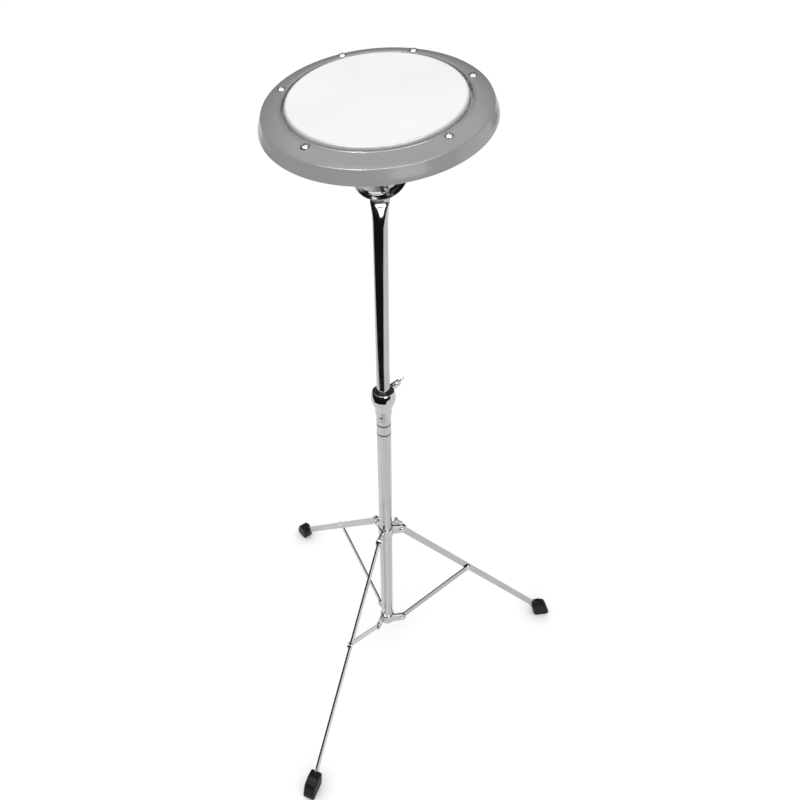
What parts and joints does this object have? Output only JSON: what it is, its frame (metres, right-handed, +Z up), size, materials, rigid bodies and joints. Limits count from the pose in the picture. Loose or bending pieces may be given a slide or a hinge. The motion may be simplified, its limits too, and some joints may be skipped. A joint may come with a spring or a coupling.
{
  "type": "practice pad on stand",
  "caption": "Round tunable drum practice pad with a white head and gray rim, tilted on a telescoping mast with a folding tripod of flat bars.",
  "frame": {"origin": "middle of the object's footprint box, on the floor that the three feet stand on", "axes": "+Z up along the mast; the player's side, which the pad leans towards, is -Y; one leg points close to +X"},
  "size_m": [0.533, 0.579, 1.0276],
  "materials": {
    "chrome": "bright chrome plate on steel tube, bar and pressings",
    "zinc_steel": "bright zinc plated fasteners",
    "gray_plastic": "satin moulded gray plastic",
    "coated_film": "white sprayed coating on polyester film",
    "black_rubber": "matt black rubber",
    "black_nylon": "black nylon",
    "base_plastic": "black moulded plastic",
    "damping_foam": "open-cell damping foam",
    "brass": "plain brass inserts"
  },
  "bodies": {
    "stand": {"lower_tube": "chrome", "height_clamp": "chrome", "lower_collar_section_1": "chrome", "lower_collar_section_2": "chrome", "lower_collar_section_3": "chrome", "lower_pivot_bolt_1": "zinc_steel", "lower_pivot_bolt_2": "zinc_steel", "lower_pivot_bolt_3": "zinc_steel"},
    "mast_bush": {"nylon_bush": "black_nylon"},
    "height_screw": {"height_wing_screw": "chrome"},
    "mast": {"upper_tube": "chrome", "pivot_bolt": "zinc_steel", "pivot_washer_front": "zinc_steel", "pivot_washer_back": "zinc_steel"},
    "tilt_nut": {"tilt_wing_nut": "chrome"},
    "tilter": {"tilt_bracket": "chrome", "pad_stud": "chrome", "stud_lock_nut": "zinc_steel", "support_plate": "chrome", "support_rubber": "black_rubber"},
    "pad": {"pad_rim": "gray_plastic", "drumhead": "coated_film", "flesh_hoop": "zinc_steel", "foam_disc": "damping_foam", "pad_base": "base_plastic", "centre_insert": "zinc_steel", "anti_slip_ring": "black_rubber", "screw_insert_1": "brass", "screw_insert_2": "brass", "screw_insert_3": "brass", "screw_insert_4": "brass", "screw_insert_5": "brass", "screw_insert_6": "brass"},
    "tension_screw_body_1": {"tension_screw_1": "zinc_steel"},
    "tension_screw_body_2": {"tension_screw_2": "zinc_steel"},
    "tension_screw_body_3": {"tension_screw_3": "zinc_steel"},
    "tension_screw_body_4": {"tension_screw_4": "zinc_steel"},
    "tension_screw_body_5": {"tension_screw_5": "zinc_steel"},
    "tension_screw_body_6": {"tension_screw_6": "zinc_steel"},
    "brace_body_1": {"brace_1": "chrome"},
    "leg_body_1": {"leg_1": "chrome", "foot_1": "black_rubber", "brace_rivet_1": "zinc_steel"},
    "brace_body_2": {"brace_2": "chrome"},
    "leg_body_2": {"leg_2": "chrome", "foot_2": "black_rubber", "brace_rivet_2": "zinc_steel"},
    "brace_body_3": {"brace_3": "chrome"},
    "leg_body_3": {"leg_3": "chrome", "foot_3": "black_rubber", "brace_rivet_3": "zinc_steel"},
    "upper_collar": {"upper_collar_section_1": "chrome", "upper_collar_section_2": "chrome", "upper_collar_section_3": "chrome", "leg_pivot_bolt_1": "zinc_steel", "leg_pivot_bolt_2": "zinc_steel", "leg_pivot_bolt_3": "zinc_steel"},
    "collar_screw": {"collar_thumb_screw": "chrome"}
  },
  "joints": [
    {"name": "mast_swivel", "type": "hinge", "parent": "stand", "child": "mast_bush", "pos_m": [-0.06388, 0.01709, 0], "axis": [0, 0, 1], "continuous": true},
    {"name": "mast_height", "type": "slide", "parent": "mast_bush", "child": "mast", "axis": [0, 0, 1], "range_m": [-0.235, 0.19]},
    {"name": "height_screw_turn", "type": "hinge", "parent": "stand", "child": "height_screw", "pos_m": [-0.06388, 0.01709, 0.595], "axis": [0.6428, 0.766, 0], "continuous": true},
    {"name": "pad_tilt", "type": "hinge", "parent": "mast", "child": "tilter", "pos_m": [-0.05894, 0.01209, 0.895], "axis": [0.1684, -0.9551, -0.2436], "range_deg": [-45, 45]},
    {"name": "tilt_nut_turn", "type": "hinge", "parent": "mast", "child": "tilt_nut", "pos_m": [-0.05894, 0.01209, 0.895], "axis": [0.1684, -0.9551, -0.2436], "continuous": true},
    {"name": "pad_turn", "type": "hinge", "parent": "tilter", "child": "pad", "pos_m": [-0.06566, -0.02616, 1.0005], "axis": [-0.0746, -0.2588, 0.963], "continuous": true},
    {"name": "tension_screw_turn_1", "type": "hinge", "parent": "pad", "child": "tension_screw_body_1", "pos_m": [0.03366, 0.00081, 1.01544], "axis": [-0.0746, -0.2588, 0.963], "continuous": true},
    {"name": "tension_screw_turn_2", "type": "hinge", "parent": "pad", "child": "tension_screw_body_2", "pos_m": [-0.02468, 0.06531, 1.02825], "axis": [-0.0746, -0.2588, 0.963], "continuous": true},
    {"name": "tension_screw_turn_3", "type": "hinge", "parent": "pad", "child": "tension_screw_body_3", "pos_m": [-0.10236, 0.06849, 1.02309], "axis": [-0.0746, -0.2588, 0.963], "continuous": true},
    {"name": "tension_screw_turn_4", "type": "hinge", "parent": "pad", "child": "tension_screw_body_4", "pos_m": [-0.16414, 0.00725, 1.00185], "axis": [-0.0746, -0.2588, 0.963], "continuous": true},
    {"name": "tension_screw_turn_5", "type": "hinge", "parent": "pad", "child": "tension_screw_body_5", "pos_m": [-0.13271, -0.10148, 0.97506], "axis": [-0.0746, -0.2588, 0.963], "continuous": true},
    {"name": "tension_screw_turn_6", "type": "hinge", "parent": "pad", "child": "tension_screw_body_6", "pos_m": [0.00062, -0.10469, 0.98453], "axis": [-0.0746, -0.2588, 0.963], "continuous": true},
    {"name": "leg_fold", "type": "hinge", "parent": "stand", "child": "brace_body_1", "pos_m": [-0.03654, 0.02006, 0.0505], "axis": [0.108, -0.9942, 0], "range_deg": [0, 44]},
    {"name": "brace_2_fold", "type": "hinge", "parent": "stand", "child": "brace_body_2", "pos_m": [-0.08012, 0.03928, 0.0505], "axis": [0.807, 0.5906, 0], "range_deg": [0, 44]},
    {"name": "brace_3_fold", "type": "hinge", "parent": "stand", "child": "brace_body_3", "pos_m": [-0.07498, -0.00808, 0.0505], "axis": [-0.915, 0.4035, 0], "range_deg": [0, 44]},
    {"name": "leg_1_fold", "type": "hinge", "parent": "brace_body_1", "child": "leg_body_1", "pos_m": [0.08779, 0.03356, 0.17575], "axis": [0.108, -0.9942, 0], "range_deg": [-88, 0]},
    {"name": "leg_2_fold", "type": "hinge", "parent": "brace_body_2", "child": "leg_body_2", "pos_m": [-0.15399, 0.1402, 0.17575], "axis": [0.807, 0.5906, 0], "range_deg": [-88, 0]},
    {"name": "leg_3_fold", "type": "hinge", "parent": "brace_body_3", "child": "leg_body_3", "pos_m": [-0.12545, -0.12251, 0.17575], "axis": [-0.915, 0.4035, 0], "range_deg": [-88, 0]},
    {"name": "collar_lift", "type": "hinge", "parent": "leg_body_1", "child": "upper_collar", "pos_m": [-0.03654, 0.02006, 0.301], "axis": [0.108, -0.9942, 0], "range_deg": [0, 44]},
    {"name": "collar_screw_turn", "type": "hinge", "parent": "upper_collar", "child": "collar_screw", "pos_m": [-0.06388, 0.01709, 0.301], "axis": [0.7408, 0.6717, 0], "continuous": true}
  ],
  "couplings": [
    {"joint": "brace_2_fold", "follows": "leg_fold", "ratio": 1},
    {"joint": "brace_3_fold", "follows": "leg_fold", "ratio": 1},
    {"joint": "leg_1_fold", "follows": "leg_fold", "ratio": -2},
    {"joint": "leg_2_fold", "follows": "leg_fold", "ratio": -2},
    {"joint": "leg_3_fold", "follows": "leg_fold", "ratio": -2},
    {"joint": "collar_lift", "follows": "leg_fold", "ratio": 1}
  ]
}
